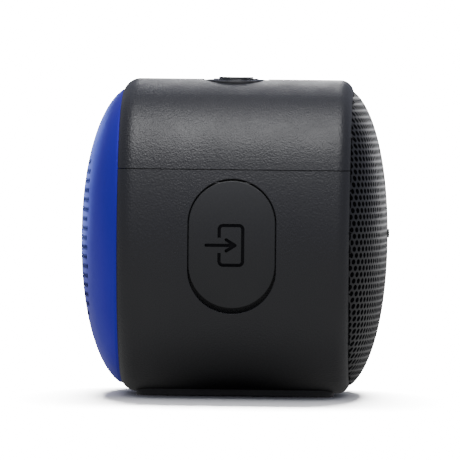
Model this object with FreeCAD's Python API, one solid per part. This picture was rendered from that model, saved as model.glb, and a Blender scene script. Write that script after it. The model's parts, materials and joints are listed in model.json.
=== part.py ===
import FreeCAD, Part
import math
import os

from FreeCAD import Vector

# A small portable wireless speaker, in millimetres. +Z is up, the front grille faces -Y,
# the back cover faces +Y and the port cover is on the -X side. The origin is the centre
# of the foot's underside.

# ---- Driving dimensions ------------------------------------------------------------

# Housing outline, a rounded square of eight tangent arcs seen along Y.
HALF_SIZE = 40.7
SIDE_RADIUS = 52.0
JOIN_ANGLE = math.radians(22.5)
FOOT_HEIGHT = 0.6
CENTRE_Z = HALF_SIZE + FOOT_HEIGHT

# Housing, along Y and through its wall.
HALF_DEPTH = 29.9
WALL = 2.2
FRONT_ROUND = 3.5
BACK_ROUND = 4.5
LIP_INSET = 2.5
LIP_DEPTH = 2.3
FRAME_THICK = 3.0
FRAME_INSET = 2.6
SEAM_Z = 59.1
SEAM_GAP = 0.2
END_BOSS_DIAGONAL = 37.4
END_SCREW_DIAGONAL = 35.9
END_BOSS_LENGTH = 10.0

# Domed grille and back cover, set a little lower than the housing's middle.
DOME_DROP = 0.4
DOME_RIM_INSET = 2.55
DOME_EXPONENT = 2.1
DOME_RIM_RATIO = 0.9694
GRILLE_HEIGHT = 9.3
GRILLE_THICK = 0.8
COVER_HEIGHT = 10.5
COVER_THICK = 1.6
CLOTH_THICK = 0.4
CLOTH_GAP = 0.1

# Port cover, a pill that swings up about a pin at its top.
PILL_RADIUS = 11.0
PILL_FLAT = 10.4
PILL_Z = 40.1
PILL_GAP = 0.22
PILL_RISE = 0.15
PILL_ROUND = 0.25
MOUTH_ROUND = 0.2
FINGER_GAP = 1.2
PILL_THICK = 1.4
SKIRT_OUTER = 9.3
SKIRT_INNER = 8.3
SKIRT_END_X = -35.5
WELL_RADIUS = 9.7
WELL_WALL = 1.5
WELL_FLOOR_X = -34.2
WELL_FLOOR = 1.2
HINGE_X = -38.3
HINGE_Z = 55.7
PIN_RADIUS = 0.2
PIN_FIT = 0.05

# Sockets behind the port cover.
USB_Z = 44.4
JACK_Z = 33.0
JACK_BORE = 1.8
PORT_BOARD_Y = 3.0
BOARD_THICK = 1.6

# Control pad and keys.
PAD_Y = 0.7
PAD_RADIUS = 8.5
PAD_HALF_LENGTH = 11.1
PAD_CROWN = 114.0
PAD_RECESS = 0.2
PAD_UNDERSIDE = 2.6
KEY_GAP = 0.2
KEY_FLANGE = 0.35
CENTRE_KEY_RADIUS = 5.85
CENTRE_KEY_PROUD = 0.35
CENTRE_CAP_RADIUS = 4.5
CENTRE_CAP_PROUD = 0.77
SIDE_KEY_RADIUS = 7.3
SIDE_KEY_HALF_LENGTH = 9.9
SIDE_KEY_INNER = 6.9
SIDE_KEY_START = 3.6
SIDE_KEY_PROUD = 0.15
SIGN_DEPTH = 0.12
KEY_TIP_Z = 76.5
SWITCH_X = 8.4
SWITCH_TOP_Z = 76.05
CONTROL_BOARD_Z = 75.0

# Driver, turned about the Y axis through the housing's centre.
FLANGE_RADIUS = 29.0
FLANGE_FRONT_Y = -29.4
FLANGE_THICK = 1.3
GASKET_THICK = 0.5
DRIVER_SCREW_RADIUS = 27.5
BASKET_RADIUS = 24.0
BASKET_BASE_RADIUS = 17.0
BASKET_BASE_Y = -12.5
COIL_RADIUS = 10.2
MAGNET_RADIUS = 16.0

# Main board, battery and foot.
MAIN_BOARD_Z = 62.1
MAIN_BOARD_HALF_X = 22.0
MAIN_BOARD_Y = (-9.0, 22.0)
BATTERY_HALF_X = 15.0
BATTERY_Y = (-14.3, 18.8)
BATTERY_Z = (8.4, 19.0)
HOLDER_BASE = (6.6, 8.2)
FOOT_HALF_X = 11.0
FOOT_HALF_Y = 25.5
FOOT_TOP_Z = 1.9

# Derived places.
SIDE_CENTRE = SIDE_RADIUS - HALF_SIZE
ARC_STEP = SIDE_CENTRE / (math.cos(JOIN_ANGLE) - math.sin(JOIN_ANGLE))
CORNER_RADIUS = SIDE_RADIUS - ARC_STEP
CORNER_CENTRE = ARC_STEP * math.sin(JOIN_ANGLE) * math.sqrt(2)
LIP_Y = HALF_DEPTH - LIP_DEPTH
FRAME_Y = LIP_Y - FRAME_THICK
CENTRE = Vector(0, 0, CENTRE_Z)
ALONG_X = Vector(1, 0, 0)
ALONG_Y = Vector(0, 1, 0)
ALONG_Z = Vector(0, 0, 1)
SIDES = (-1, 1)
FAR = 60.0
LOWERED = Vector(0, 0, -DOME_DROP)


# ---- Shape helpers -----------------------------------------------------------------


def outline(inset, y, scale=1.0):
    """The housing's outline at depth y, moved inwards by inset, then scaled."""

    def arc(centre_distance, direction, radius, start, end):
        cx = centre_distance * math.cos(direction)
        cz = centre_distance * math.sin(direction)
        points = []
        for angle in (start, (start + end) / 2, end):
            x = cx + radius * math.cos(angle)
            z = cz + radius * math.sin(angle)
            points.append(Vector(x * scale, y, CENTRE_Z + z * scale))
        return Part.Arc(*points).toShape()

    edges = []
    for quarter in range(4):
        side = quarter * math.pi / 2
        corner = side + math.pi / 4
        next_side = side + math.pi / 2
        edges.append(
            arc(-SIDE_CENTRE, side, SIDE_RADIUS - inset, side - JOIN_ANGLE, side + JOIN_ANGLE)
        )
        edges.append(
            arc(
                CORNER_CENTRE,
                corner,
                CORNER_RADIUS - inset,
                side + JOIN_ANGLE,
                next_side - JOIN_ANGLE,
            )
        )
    return Part.Wire(edges)


def barrel(inset, y0, y1):
    """A solid of the housing's outline between two depths."""
    return Part.Face(outline(inset, y0)).extrude(Vector(0, y1 - y0, 0))


def skin(outer_inset, inner_inset):
    """The layer of the housing's wall between two insets."""
    return barrel(outer_inset, -FAR, FAR).cut(barrel(inner_inset, -FAR, FAR))


def dome(inset, height, rim_y, outwards):
    """A solid dome on the outline, rising by height from rim_y towards outwards."""
    full = 1 - (1 - DOME_RIM_RATIO**DOME_EXPONENT) ** (1 / DOME_EXPONENT)
    sections = []
    for share in (1.0, 0.98, 0.94, 0.87, 0.77, 0.63, 0.45, 0.27, 0.12):
        fall = 1 - (1 - (share * DOME_RIM_RATIO) ** DOME_EXPONENT) ** (1 / DOME_EXPONENT)
        y = rim_y + outwards * height * (1 - fall / full)
        sections.append(outline(inset, y, share))
    return Part.makeLoft(sections, True).translated(LOWERED)


def dome_shell(inset, height, thick, rim_y, outwards, skirt):
    """A domed sheet of even thickness, with a straight skirt behind its rim."""
    inner = inset + thick
    shell = dome(inset, height, rim_y, outwards)
    shell = shell.cut(dome(inner, height - thick, rim_y, outwards))
    if not skirt:
        return shell
    low, high = sorted((rim_y, rim_y - outwards * skirt))
    band = barrel(inset, low, high).cut(barrel(inner, low, high))
    return shell.fuse(band.translated(LOWERED)).removeSplitter()


def block(x, y, z, round_edges=0.0, axis=ALONG_Z):
    """A box between pairs of limits, its edges along axis rounded."""
    size = (x[1] - x[0], y[1] - y[0], z[1] - z[0])
    shape = Part.makeBox(*size, Vector(x[0], y[0], z[0]))
    if not round_edges:
        return shape
    edges = [e for e in shape.Edges if abs(e.tangentAt(e.FirstParameter).dot(axis)) > 0.9]
    return shape.makeFillet(round_edges, edges)


def rod(radius, start, end):
    """A cylinder between two points."""
    return Part.makeCylinder(radius, (end - start).Length, start, end - start)


def turned(points):
    """A closed profile of (radius, y) points turned about the driver's axis."""
    corners = [Vector(radius, y, CENTRE_Z) for radius, y in points]
    face = Part.Face(Part.makePolygon(corners + corners[:1]))
    return face.revolve(CENTRE, ALONG_Y, 360)


def washer(inner, outer, y0, y1):
    """A ring about the driver's axis."""
    return turned([(inner, y0), (outer, y0), (outer, y1), (inner, y1)])


def disc(radius, y0, y1):
    """A round plate about the driver's axis."""
    return rod(radius, Vector(0, y0, CENTRE_Z), Vector(0, y1, CENTRE_Z))


def half_roll(middle, outer_roll, thick, y, outwards, inner_lip, outer_lip):
    """A flexible ring: a half-round roll between two flat glued lips."""
    lip_y = sorted((y, y + outwards * thick))

    def circle(radius):
        centre = Vector(middle, y, CENTRE_Z)
        return Part.Face(Part.Wire(Part.makeCircle(radius, centre, ALONG_Z)))

    half = Part.makePlane(
        4 * middle, FAR, Vector(-middle, min(y, y + outwards * FAR), CENTRE_Z), ALONG_Z
    )
    roll = circle(outer_roll).cut(circle(outer_roll - thick)).common(half)
    roll = roll.Faces[0].revolve(CENTRE, ALONG_Y, 360)
    inner_edge = middle - outer_roll + thick
    outer_edge = middle + outer_roll - thick
    lips = washer(inner_lip, inner_edge, *lip_y).fuse(washer(outer_edge, outer_lip, *lip_y))
    return roll.fuse(lips).removeSplitter()


def stadium(radius, half_length, z0, z1):
    """A standing prism, long along X and centred on the control pad."""
    reach = half_length - radius
    shape = block((-reach, reach), (PAD_Y - radius, PAD_Y + radius), (z0, z1))
    for side in SIDES:
        centre = Vector(side * reach, PAD_Y, z0)
        shape = shape.fuse(rod(radius, centre, centre + Vector(0, 0, z1 - z0)))
    return shape.removeSplitter()


def pill(radius, x0, x1, drop=0.0):
    """A lying prism of the port cover's outline, lowered by drop."""
    middle = PILL_Z - drop
    half = PILL_FLAT / 2
    shape = block((x0, x1), (-radius, radius), (middle - half, middle + half))
    for side in SIDES:
        start = Vector(x0, 0, middle + side * half)
        shape = shape.fuse(rod(radius, start, start + Vector(x1 - x0, 0, 0)))
    return shape.removeSplitter()


def screw(head, direction, length, shank=0.9, head_radius=1.7, head_height=1.1):
    """A pan-head screw with a cross recess; head is the centre of the seat under it."""
    axis = Vector(direction).normalize()
    top = head - axis * head_height
    shape = rod(head_radius, top, head).fuse(rod(shank, head, head + axis * length))
    across = axis.cross(ALONG_X + ALONG_Y + ALONG_Z).normalize()
    for spoke in (across, axis.cross(across)):
        reach = spoke * head_radius * 0.6
        shape = shape.cut(rod(0.2, top - reach, top + reach))
    return shape.removeSplitter()


def lead(points, radius, bend):
    """An insulated wire along straight runs joined by arcs of one bend radius."""
    edges = []
    start = points[0]
    for corner, after in zip(points[1:-1], points[2:]):
        back = (start - corner).normalize()
        ahead = (after - corner).normalize()
        half = back.getAngle(ahead) / 2
        tangent = bend / math.tan(half)
        first = corner + back * tangent
        last = corner + ahead * tangent
        middle = corner + (back + ahead).normalize() * (bend / math.sin(half) - bend)
        edges.append(Part.LineSegment(start, first).toShape())
        edges.append(Part.Arc(first, middle, last).toShape())
        start = last
    edges.append(Part.LineSegment(start, points[-1]).toShape())
    path = Part.Wire(edges)
    section = Part.Wire(Part.makeCircle(radius, points[0], points[1] - points[0]))
    return path.makePipeShell([section], True, False)


def joined(first, *others):
    """One solid of several touching shapes."""
    for other in others:
        first = first.fuse(other)
    return first.removeSplitter()


def diagonals(distance, y):
    """Four points on the outline's diagonals, at one depth."""
    reach = distance / math.sqrt(2)
    return [Vector(sx * reach, y, CENTRE_Z + sz * reach) for sx in SIDES for sz in SIDES]


def save(node, *shapes):
    """Write one sub-part's solids to its own file."""
    solids = [solid for shape in shapes for solid in shape.Solids]
    shape = solids[0] if len(solids) == 1 else Part.makeCompound(solids)
    shape.exportStep(f"parts/{node}.step")


# ---- Housing -----------------------------------------------------------------------


def rounded_barrel():
    """The housing's outer form, with its front and back edges rounded."""
    shape = barrel(0, -HALF_DEPTH, HALF_DEPTH)
    for y, radius in ((-HALF_DEPTH, FRONT_ROUND), (HALF_DEPTH, BACK_ROUND)):
        rim = [e for e in shape.Edges if abs(e.BoundBox.YMin - y) + abs(e.BoundBox.YMax - y) < 0.01]
        shape = shape.makeFillet(radius, rim)
    return shape


def housing_shell():
    """The whole hollow ring, before it is split at the seam."""
    shell = rounded_barrel().cut(barrel(WALL, -LIP_Y, LIP_Y))
    shell = shell.cut(barrel(LIP_INSET, -FAR, -LIP_Y).translated(LOWERED))
    return shell.cut(barrel(LIP_INSET, LIP_Y, FAR).translated(LOWERED))


def end_bosses(upper):
    """Bosses in the corners that take the screws of the front and back frames."""
    bosses = []
    for outwards in SIDES:
        end_y = outwards * FRAME_Y
        inner_y = outwards * (FRAME_Y - END_BOSS_LENGTH)
        bores = diagonals(END_SCREW_DIAGONAL, end_y)
        for place, bore in zip(diagonals(END_BOSS_DIAGONAL, end_y), bores):
            if (place.z > CENTRE_Z) != upper:
                continue
            boss = rod(3.2, place, Vector(place.x, inner_y, place.z))
            boss = boss.common(barrel(WALL - 0.5, -FAR, FAR))
            bosses.append(boss.cut(rod(0.95, bore, Vector(bore.x, inner_y, bore.z))))
    return bosses


SEAM_BOSS_X = 31.3
SEAM_BOSS_Y = 19.0
SEAM_BOSS_HEIGHT = 8.0


def seam_bosses(z0, z1):
    """Bosses beside the seam, tied to the side walls."""
    bosses = []
    for side_x in SIDES:
        for side_y in SIDES:
            start = Vector(side_x * SEAM_BOSS_X, side_y * SEAM_BOSS_Y, z0)
            end = Vector(start.x, start.y, z1)
            wall_x = sorted((start.x, side_x * HALF_SIZE))
            web = block(wall_x, (start.y - 1.2, start.y + 1.2), (z0, z1))
            boss = rod(3.0, start, end).fuse(web).common(barrel(WALL - 0.5, -FAR, FAR))
            bosses.append(boss.cut(rod(0.95, start, end)))
    return bosses


def main_housing(shell):
    low = shell.common(block((-FAR, FAR), (-FAR, FAR), (-FAR, SEAM_Z - SEAM_GAP / 2)))
    top = SEAM_Z - SEAM_GAP / 2
    low = joined(low, *end_bosses(False), *seam_bosses(top - SEAM_BOSS_HEIGHT, top))
    for post_y in HOLDER_SCREW_Y:
        post = rod(2.2, Vector(0, post_y, 2.3), Vector(0, post_y, HOLDER_BASE[0]))
        low = low.fuse(post.cut(rod(0.95, Vector(0, post_y, 3.2), Vector(0, post_y, FAR))))
    opening_radius = PILL_RADIUS + PILL_GAP
    opening = pill(opening_radius, -FAR, -30).fuse(pill(opening_radius, -FAR, -30, FINGER_GAP))
    opening = opening.fuse(pill(opening_radius, -FAR, -30, -PILL_RISE))
    low = low.cut(opening.removeSplitter())
    mouth = [e for e in low.Edges if on_outer_side(e) and e.BoundBox.XMax < -37]
    mouth = [e for e in mouth if abs(e.BoundBox.Center.y) < 15 and 20 < e.BoundBox.Center.z < 58]
    low = low.makeFillet(MOUTH_ROUND, mouth)
    pin_reach = 6.5
    low = low.cut(
        rod(PIN_RADIUS, Vector(HINGE_X, -pin_reach, HINGE_Z), Vector(HINGE_X, pin_reach, HINGE_Z))
    )
    foot_seat = block(
        (-FOOT_HALF_X - 0.1, FOOT_HALF_X + 0.1),
        (-FOOT_HALF_Y - 0.1, FOOT_HALF_Y + 0.1),
        (-1, FOOT_TOP_Z),
        4.1,
    )
    return low.cut(foot_seat).removeSplitter()


MAIN_POST_X = 19.0
MAIN_POST_Y = (-5.5, 18.5)
CONTROL_POST_Y = (PAD_Y - 12.4, PAD_Y + 12.4)


def hanging_post(x, y, foot_z, radius):
    """A post moulded under the top cover, with a pilot hole in its lower end."""
    post = rod(radius, Vector(x, y, foot_z), Vector(x, y, CENTRE_Z + HALF_SIZE))
    post = post.common(barrel(WALL - 0.5, -FAR, FAR))
    return post.cut(rod(0.95, Vector(x, y, foot_z), Vector(x, y, foot_z + 6)))


def top_cover(shell):
    bottom = SEAM_Z + SEAM_GAP / 2
    high = shell.common(block((-FAR, FAR), (-FAR, FAR), (bottom, 2 * FAR)))
    high = joined(high, *end_bosses(True), *seam_bosses(bottom, bottom + SEAM_BOSS_HEIGHT))
    for x in (-MAIN_POST_X, MAIN_POST_X):
        for y in MAIN_POST_Y:
            high = high.fuse(hanging_post(x, y, MAIN_BOARD_Z, 2.4))
    for y in CONTROL_POST_Y:
        high = high.fuse(hanging_post(0, y, CONTROL_BOARD_Z, 2.0))
    return high.cut(stadium(PAD_RADIUS, PAD_HALF_LENGTH, CENTRE_Z, 2 * FAR)).removeSplitter()


def seam_gaskets():
    strip = skin(0.7, 1.7).common(barrel(0, -26, 26))
    gap = block((-FAR, FAR), (-26, 26), (SEAM_Z - SEAM_GAP / 2, SEAM_Z + SEAM_GAP / 2))
    return strip.common(gap)


def seam_screws():
    seats = [
        Vector(sx * SEAM_BOSS_X, sy * SEAM_BOSS_Y, SEAM_Z - SEAM_GAP / 2 - SEAM_BOSS_HEIGHT)
        for sx in SIDES
        for sy in SIDES
    ]
    return [screw(seat, ALONG_Z, 14) for seat in seats]


def foot_pad():
    pad = block(
        (-FOOT_HALF_X, FOOT_HALF_X), (-FOOT_HALF_Y, FOOT_HALF_Y), (0, FOOT_TOP_Z), 4.0
    )
    rim = [e for e in pad.Edges if e.BoundBox.ZMax < 0.01]
    return pad.makeFillet(0.3, rim)


# ---- Front: grille, baffle and driver ----------------------------------------------


def screwed_frame(opening, y0, y1):
    """A flat frame inside one end of the housing, with a round opening."""
    frame = barrel(FRAME_INSET, y0, y1).cut(disc(opening, y0, y1))
    for place in diagonals(END_SCREW_DIAGONAL, y0):
        frame = frame.cut(rod(1.15, place, Vector(place.x, y1, place.z)))
    return frame


def front_baffle():
    baffle = screwed_frame(BASKET_RADIUS + 0.7, -LIP_Y, -FRAME_Y)
    for place in diagonals(DRIVER_SCREW_RADIUS, -LIP_Y):
        baffle = baffle.cut(rod(0.95, place, place + ALONG_Y * 2.4))
    return baffle


def frame_screws():
    """The eight identical screws of the front baffle and the back frame."""
    return [
        screw(place, ALONG_Y * -outwards, 10)
        for outwards in SIDES
        for place in diagonals(END_SCREW_DIAGONAL, outwards * LIP_Y)
    ]


def driver_screws():
    return [
        screw(place, ALONG_Y, 4.0)
        for place in diagonals(DRIVER_SCREW_RADIUS, FLANGE_FRONT_Y)
    ]


def with_screw_holes(shape, y0, y1):
    for place in diagonals(DRIVER_SCREW_RADIUS, y0):
        shape = shape.cut(rod(1.1, place, Vector(place.x, y1, place.z)))
    return shape


def driver_frame():
    back_of_flange = FLANGE_FRONT_Y + FLANGE_THICK
    flange = with_screw_holes(
        washer(BASKET_RADIUS - 1.0, FLANGE_RADIUS, FLANGE_FRONT_Y, back_of_flange),
        FLANGE_FRONT_Y,
        back_of_flange,
    )
    wall = turned(
        [
            (BASKET_RADIUS - 1.0, FLANGE_FRONT_Y + 0.2),
            (BASKET_RADIUS, FLANGE_FRONT_Y + 0.2),
            (BASKET_RADIUS, back_of_flange),
            (BASKET_BASE_RADIUS, BASKET_BASE_Y - 1.4),
            (BASKET_BASE_RADIUS, BASKET_BASE_Y),
            (BASKET_BASE_RADIUS - 1.0, BASKET_BASE_Y),
            (BASKET_BASE_RADIUS - 1.0, BASKET_BASE_Y - 1.4),
            (BASKET_RADIUS - 1.0, back_of_flange),
        ]
    )
    shelf = washer(17.8, 20.0, SPIDER_Y, SPIDER_Y + 0.8)
    base = washer(12.2, BASKET_BASE_RADIUS, BASKET_BASE_Y - 1.4, BASKET_BASE_Y)
    window_width = 6.5
    for quarter in range(4):
        for low, high in ((-26.6, SPIDER_Y - 0.8), (SPIDER_Y + 1.6, BASKET_BASE_Y - 2.2)):
            window = block(
                (0, FAR), (low, high), (CENTRE_Z - window_width, CENTRE_Z + window_width)
            )
            window.rotate(CENTRE, ALONG_Y, quarter * 90)
            wall = wall.cut(window)
    return joined(flange, wall, shelf, base)


SPIDER_Y = -20.4
SPIDER_OUTER = 18.9


def driver_spider():
    """A corrugated disc that centres the voice coil."""
    thick = 0.35
    wave = 0.5
    steps = 36
    upper = []
    for i in range(steps + 1):
        share = i / steps
        radius = COIL_RADIUS + (SPIDER_OUTER - 1.4 - COIL_RADIUS) * share
        rise = wave * (1 - math.cos(share * 8 * math.pi)) / 2
        upper.append((radius, SPIDER_Y - thick - rise))
    lower = [(radius, y + thick) for radius, y in reversed(upper)]
    sheet = turned(upper + lower)
    lip = washer(SPIDER_OUTER - 1.4, SPIDER_OUTER, SPIDER_Y - thick, SPIDER_Y)
    return joined(sheet, lip)


def driver_cone():
    return turned(
        [
            (19.4, FLANGE_FRONT_Y),
            (19.4, FLANGE_FRONT_Y + 0.45),
            (COIL_RADIUS, -22.3),
            (COIL_RADIUS, -22.8),
            (18.3, FLANGE_FRONT_Y),
        ]
    )


def driver_dust_cap():
    """A thin dome glued to the front of the cone."""
    edge, rise, thick = 11.0, 3.6, 0.35
    base_y = -23.65

    def arc_points(radius, height, steps=14):
        sphere = (radius**2 + height**2) / (2 * height)
        span = math.asin(radius / sphere)
        angles = [span * (1 - i / steps) for i in range(steps + 1)]
        return [
            (sphere * math.sin(a), base_y - height + sphere * (1 - math.cos(a))) for a in angles
        ]

    outer = arc_points(edge, rise)
    inner = arc_points(edge - thick, rise - thick)
    return turned(outer + inner[::-1])


def yoke():
    plate = washer(2.0, 15.5, -1.5, 1.5)
    pole = washer(2.0, 9.65, BASKET_BASE_Y - 0.2, -1.5)
    return joined(plate, pole)


def terminal_strip():
    depth = (BASKET_BASE_Y, BASKET_BASE_Y + 1.0)
    height = (CENTRE_Z + 15.9, CENTRE_Z + 20.5)
    return block((-5, 5), depth, height, 0.8, ALONG_Y)


def terminal_lugs():
    lugs = []
    for side in SIDES:
        x = side * 2.5
        y0 = BASKET_BASE_Y + 1.0
        lugs.append(block((x - 0.8, x + 0.8), (y0, y0 + 0.5), (CENTRE_Z + 16.8, CENTRE_Z + 21.5)))
    return lugs


def speaker_leads():
    leads = []
    for side in SIDES:
        x = side * 2.5
        y0 = BASKET_BASE_Y + 2.05
        route = [
            Vector(x, y0, CENTRE_Z + 17.6),
            Vector(x, y0, 66.0),
            Vector(x, -6.5, 66.0),
            Vector(x, -6.5, MAIN_BOARD_Z + 0.02),
        ]
        leads.append(lead(route, 0.5, 1.3))
    return leads


def grille_badge():
    """A blank bar on the middle of the grille."""
    front_y = -HALF_DEPTH - GRILLE_HEIGHT
    badge_z = CENTRE_Z - DOME_DROP + 1.5
    depth = (front_y - 0.3, front_y + 0.4)
    bar = block((-5.0, 5.0), depth, (badge_z - 1.05, badge_z + 1.05), 1.0, ALONG_Y)
    return bar.cut(dome(DOME_RIM_INSET, GRILLE_HEIGHT, -HALF_DEPTH, -1))


# ---- Back: cover and passive radiator ----------------------------------------------

RADIATOR_OPENING = 21.3
RADIATOR_MIDDLE = 19.2
RADIATOR_ROLL = 2.6
RADIATOR_SHEET = 0.5
RADIATOR_PLATE = 16.6


def radiator_surround():
    inner_lip, outer_lip = 14.5, 24.5
    return half_roll(
        RADIATOR_MIDDLE, RADIATOR_ROLL, RADIATOR_SHEET, LIP_Y, 1, inner_lip, outer_lip
    )


# ---- Side: port cover and sockets --------------------------------------------------


def port_icon():
    """An engraving: an arrow that points into a doorway, towards the front."""
    stroke = 0.82
    deep = 1.0
    reach = (-FAR, -30)
    corner = 1.4
    door_y = (-3.2, 3.6)
    door_z = (PILL_Z - 5.6, PILL_Z + 5.3)
    arrow_y = (-0.85, 6.5)
    arrow_z = PILL_Z - 0.15
    head_length, head_half = 2.25, 1.4
    door = block(reach, door_y, door_z, corner, ALONG_X)
    hole = block(
        reach,
        (door_y[0] + stroke, door_y[1] - stroke),
        (door_z[0] + stroke, door_z[1] - stroke),
        corner - stroke,
        ALONG_X,
    )
    gap = block(reach, (door_y[1] - 2, FAR), (arrow_z - 1.95, arrow_z + 1.95))
    icon = door.cut(hole).cut(gap)
    tip = Vector(-FAR, arrow_y[0], arrow_z)
    tails = [Vector(-FAR, arrow_y[1], arrow_z)]
    for side in SIDES:
        tails.append(Vector(-FAR, arrow_y[0] + head_length, arrow_z + side * head_half))
    for tail in tails:
        along = (tail - tip).normalize()
        across = ALONG_X.cross(along) * (stroke / 2)
        corners = [tip + across, tail + across, tail - across, tip - across, tip + across]
        icon = icon.fuse(Part.Face(Part.makePolygon(corners)).extrude(Vector(30, 0, 0)))
        for end in (tip, tail):
            icon = icon.fuse(rod(stroke / 2, end, end + Vector(30, 0, 0)))
    return icon.common(skin(-1, deep))


def port_cover():
    """A rubber pill that follows the housing's side, with a sealing skirt behind it."""
    face = skin(0, PILL_THICK).common(pill(PILL_RADIUS, -FAR, -30))
    rim = [e for e in face.Edges if on_outer_side(e)]
    face = face.makeFillet(PILL_ROUND, rim)
    skirt = pill(SKIRT_OUTER, -38.6, SKIRT_END_X).cut(pill(SKIRT_INNER, -38.6, SKIRT_END_X))
    skirt = skirt.common(barrel(PILL_THICK - 0.4, -FAR, FAR))
    bore = rod(PIN_RADIUS + PIN_FIT, Vector(HINGE_X, -8, HINGE_Z), Vector(HINGE_X, 8, HINGE_Z))
    return joined(face, skirt).cut(port_icon()).cut(bore)


def on_outer_side(edge):
    """True for an edge whose ends lie on the housing's outer surface."""
    point = edge.valueAt((edge.FirstParameter + edge.LastParameter) / 2)
    centre = Vector(SIDE_CENTRE, 0, CENTRE_Z)
    return abs(math.hypot(point.x - centre.x, point.z - centre.z) - SIDE_RADIUS) < 0.05


def port_tray():
    """A well behind the port cover, with holes for the sockets."""
    far_side = WELL_FLOOR_X + WELL_FLOOR
    flange = skin(WALL + 0.05, WALL + 1.8).common(pill(PILL_RADIUS + 2.6, -FAR, -30))
    walls = pill(WELL_RADIUS + WELL_WALL, -37.4, far_side)
    walls = walls.common(barrel(WALL + 0.05, -FAR, FAR))
    tray = flange.fuse(walls).cut(pill(WELL_RADIUS, -FAR, WELL_FLOOR_X))
    usb_hole = block((-36, -30), (-2.0, 2.0), (USB_Z - 4.85, USB_Z + 4.85), 1.9, ALONG_X)
    tray = tray.cut(usb_hole)
    tray = tray.cut(rod(3.0, Vector(-36, 0, JACK_Z), Vector(-30, 0, JACK_Z)))
    for z in PORT_SCREW_Z:
        lug = block((far_side - 0.2, -28.4), (-0.4, PORT_BOARD_Y), (z - 1.5, z + 1.5))
        bore = rod(0.75, Vector(PORT_SCREW_X, 0.3, z), Vector(PORT_SCREW_X, 5, z))
        tray = tray.fuse(lug.cut(bore))
    return tray.removeSplitter()


PORT_SCREW_X = -30.4
PORT_SCREW_Z = (27.9, 51.1)
SOCKET_BACK_X = -22.0


def port_board():
    board = block(
        (-32.6, -19.5), (PORT_BOARD_Y, PORT_BOARD_Y + BOARD_THICK), (26.2, 52.8), 1.0, ALONG_Y
    )
    for z in PORT_SCREW_Z:
        start = Vector(PORT_SCREW_X, PORT_BOARD_Y, z)
        board = board.cut(rod(0.9, start, start + ALONG_Y * BOARD_THICK))
    return board


def port_screws():
    seat_y = PORT_BOARD_Y + BOARD_THICK
    return [
        screw(Vector(PORT_SCREW_X, seat_y, z), ALONG_Y * -1, 3.8, 0.7, 1.3, 0.9)
        for z in PORT_SCREW_Z
    ]


def usb_shell():
    """A rounded steel tube with a closed back."""
    outer = block((-34.4, -26.4), (-1.63, 1.63), (USB_Z - 4.47, USB_Z + 4.47), 1.6, ALONG_X)
    inner = block((-34.4, -26.9), (-1.33, 1.33), (USB_Z - 4.17, USB_Z + 4.17), 1.3, ALONG_X)
    return outer.cut(inner)


def usb_insulator():
    """The contact tongue with its base, and the standoff under the shell."""
    tongue = block((-33.4, -28.4), (-0.35, 0.35), (USB_Z - 3.3, USB_Z + 3.3), 0.3, ALONG_X)
    base = block((-28.4, -26.9), (-1.3, 1.3), (USB_Z - 4.1, USB_Z + 4.1), 1.2, ALONG_X)
    standoff = block((-32.9, -26.6), (1.63, PORT_BOARD_Y), (USB_Z - 3.0, USB_Z + 3.0))
    return joined(tongue, base), standoff


def jack_body():
    """A 3.5 mm socket: a round nose on a square body, bored from the front."""
    nose = rod(2.8, Vector(-34.6, 0, JACK_Z), Vector(-32.8, 0, JACK_Z))
    body = block((-32.8, SOCKET_BACK_X), (-3.0, PORT_BOARD_Y), (JACK_Z - 3, JACK_Z + 3))
    bore = rod(JACK_BORE, Vector(-35, 0, JACK_Z), Vector(-23.0, 0, JACK_Z))
    return joined(nose, body).cut(bore)


def jack_contacts():
    """Spring tails that come out of the back of the socket's body."""
    tails = []
    for z in (JACK_Z - 2.0, JACK_Z, JACK_Z + 2.0):
        tails.append(block((SOCKET_BACK_X, -20.6), (2.2, PORT_BOARD_Y), (z - 0.5, z + 0.5)))
    return tails


def port_cable():
    """Three wires from the port board up to the main board."""
    wires = []
    for i in range(3):
        x = -22.6 + 1.3 * i
        y0 = PORT_BOARD_Y + BOARD_THICK + 0.02
        route = [
            Vector(x, y0, 49.0),
            Vector(x, y0 + 3.4, 49.0),
            Vector(x, y0 + 3.4, MAIN_BOARD_Z - BOARD_THICK - 0.02),
        ]
        wires.append(lead(route, 0.45, 1.6))
    return wires


# ---- Top: control pad, keys and their board ----------------------------------------


def centre_key_column(radius):
    return rod(radius, Vector(0, PAD_Y, CENTRE_Z), Vector(0, PAD_Y, 2 * FAR))


def side_key_column(side, grow):
    """The crescent beside the centre key, grown all round by grow."""
    column = stadium(SIDE_KEY_RADIUS + grow, SIDE_KEY_HALF_LENGTH + grow, CENTRE_Z, 2 * FAR)
    column = column.cut(centre_key_column(SIDE_KEY_INNER - grow))
    start = SIDE_KEY_START - grow
    limits = sorted((side * start, side * FAR))
    return column.common(block(limits, (-FAR, FAR), (CENTRE_Z, 2 * FAR)))


def crowned(column, proud, underside):
    """The part of a standing column between the pad's crown, raised by proud, and an inset."""
    top_z = CENTRE_Z + HALF_SIZE - PAD_RECESS + proud
    axis_z = top_z - PAD_CROWN
    crown = rod(PAD_CROWN, Vector(0, -20, axis_z), Vector(0, 20, axis_z))
    crown.rotate(Vector(0, 0, axis_z), ALONG_Y, 90)
    shape = column.common(crown).cut(barrel(underside, -FAR, FAR)).Solids[0]

    def on_crown(edge):
        point = edge.valueAt((edge.FirstParameter + edge.LastParameter) / 2)
        return abs(math.hypot(point.x, point.z - axis_z) - PAD_CROWN) < 0.01

    return shape.makeFillet(0.12, [e for e in shape.Edges if on_crown(e)])


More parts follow.
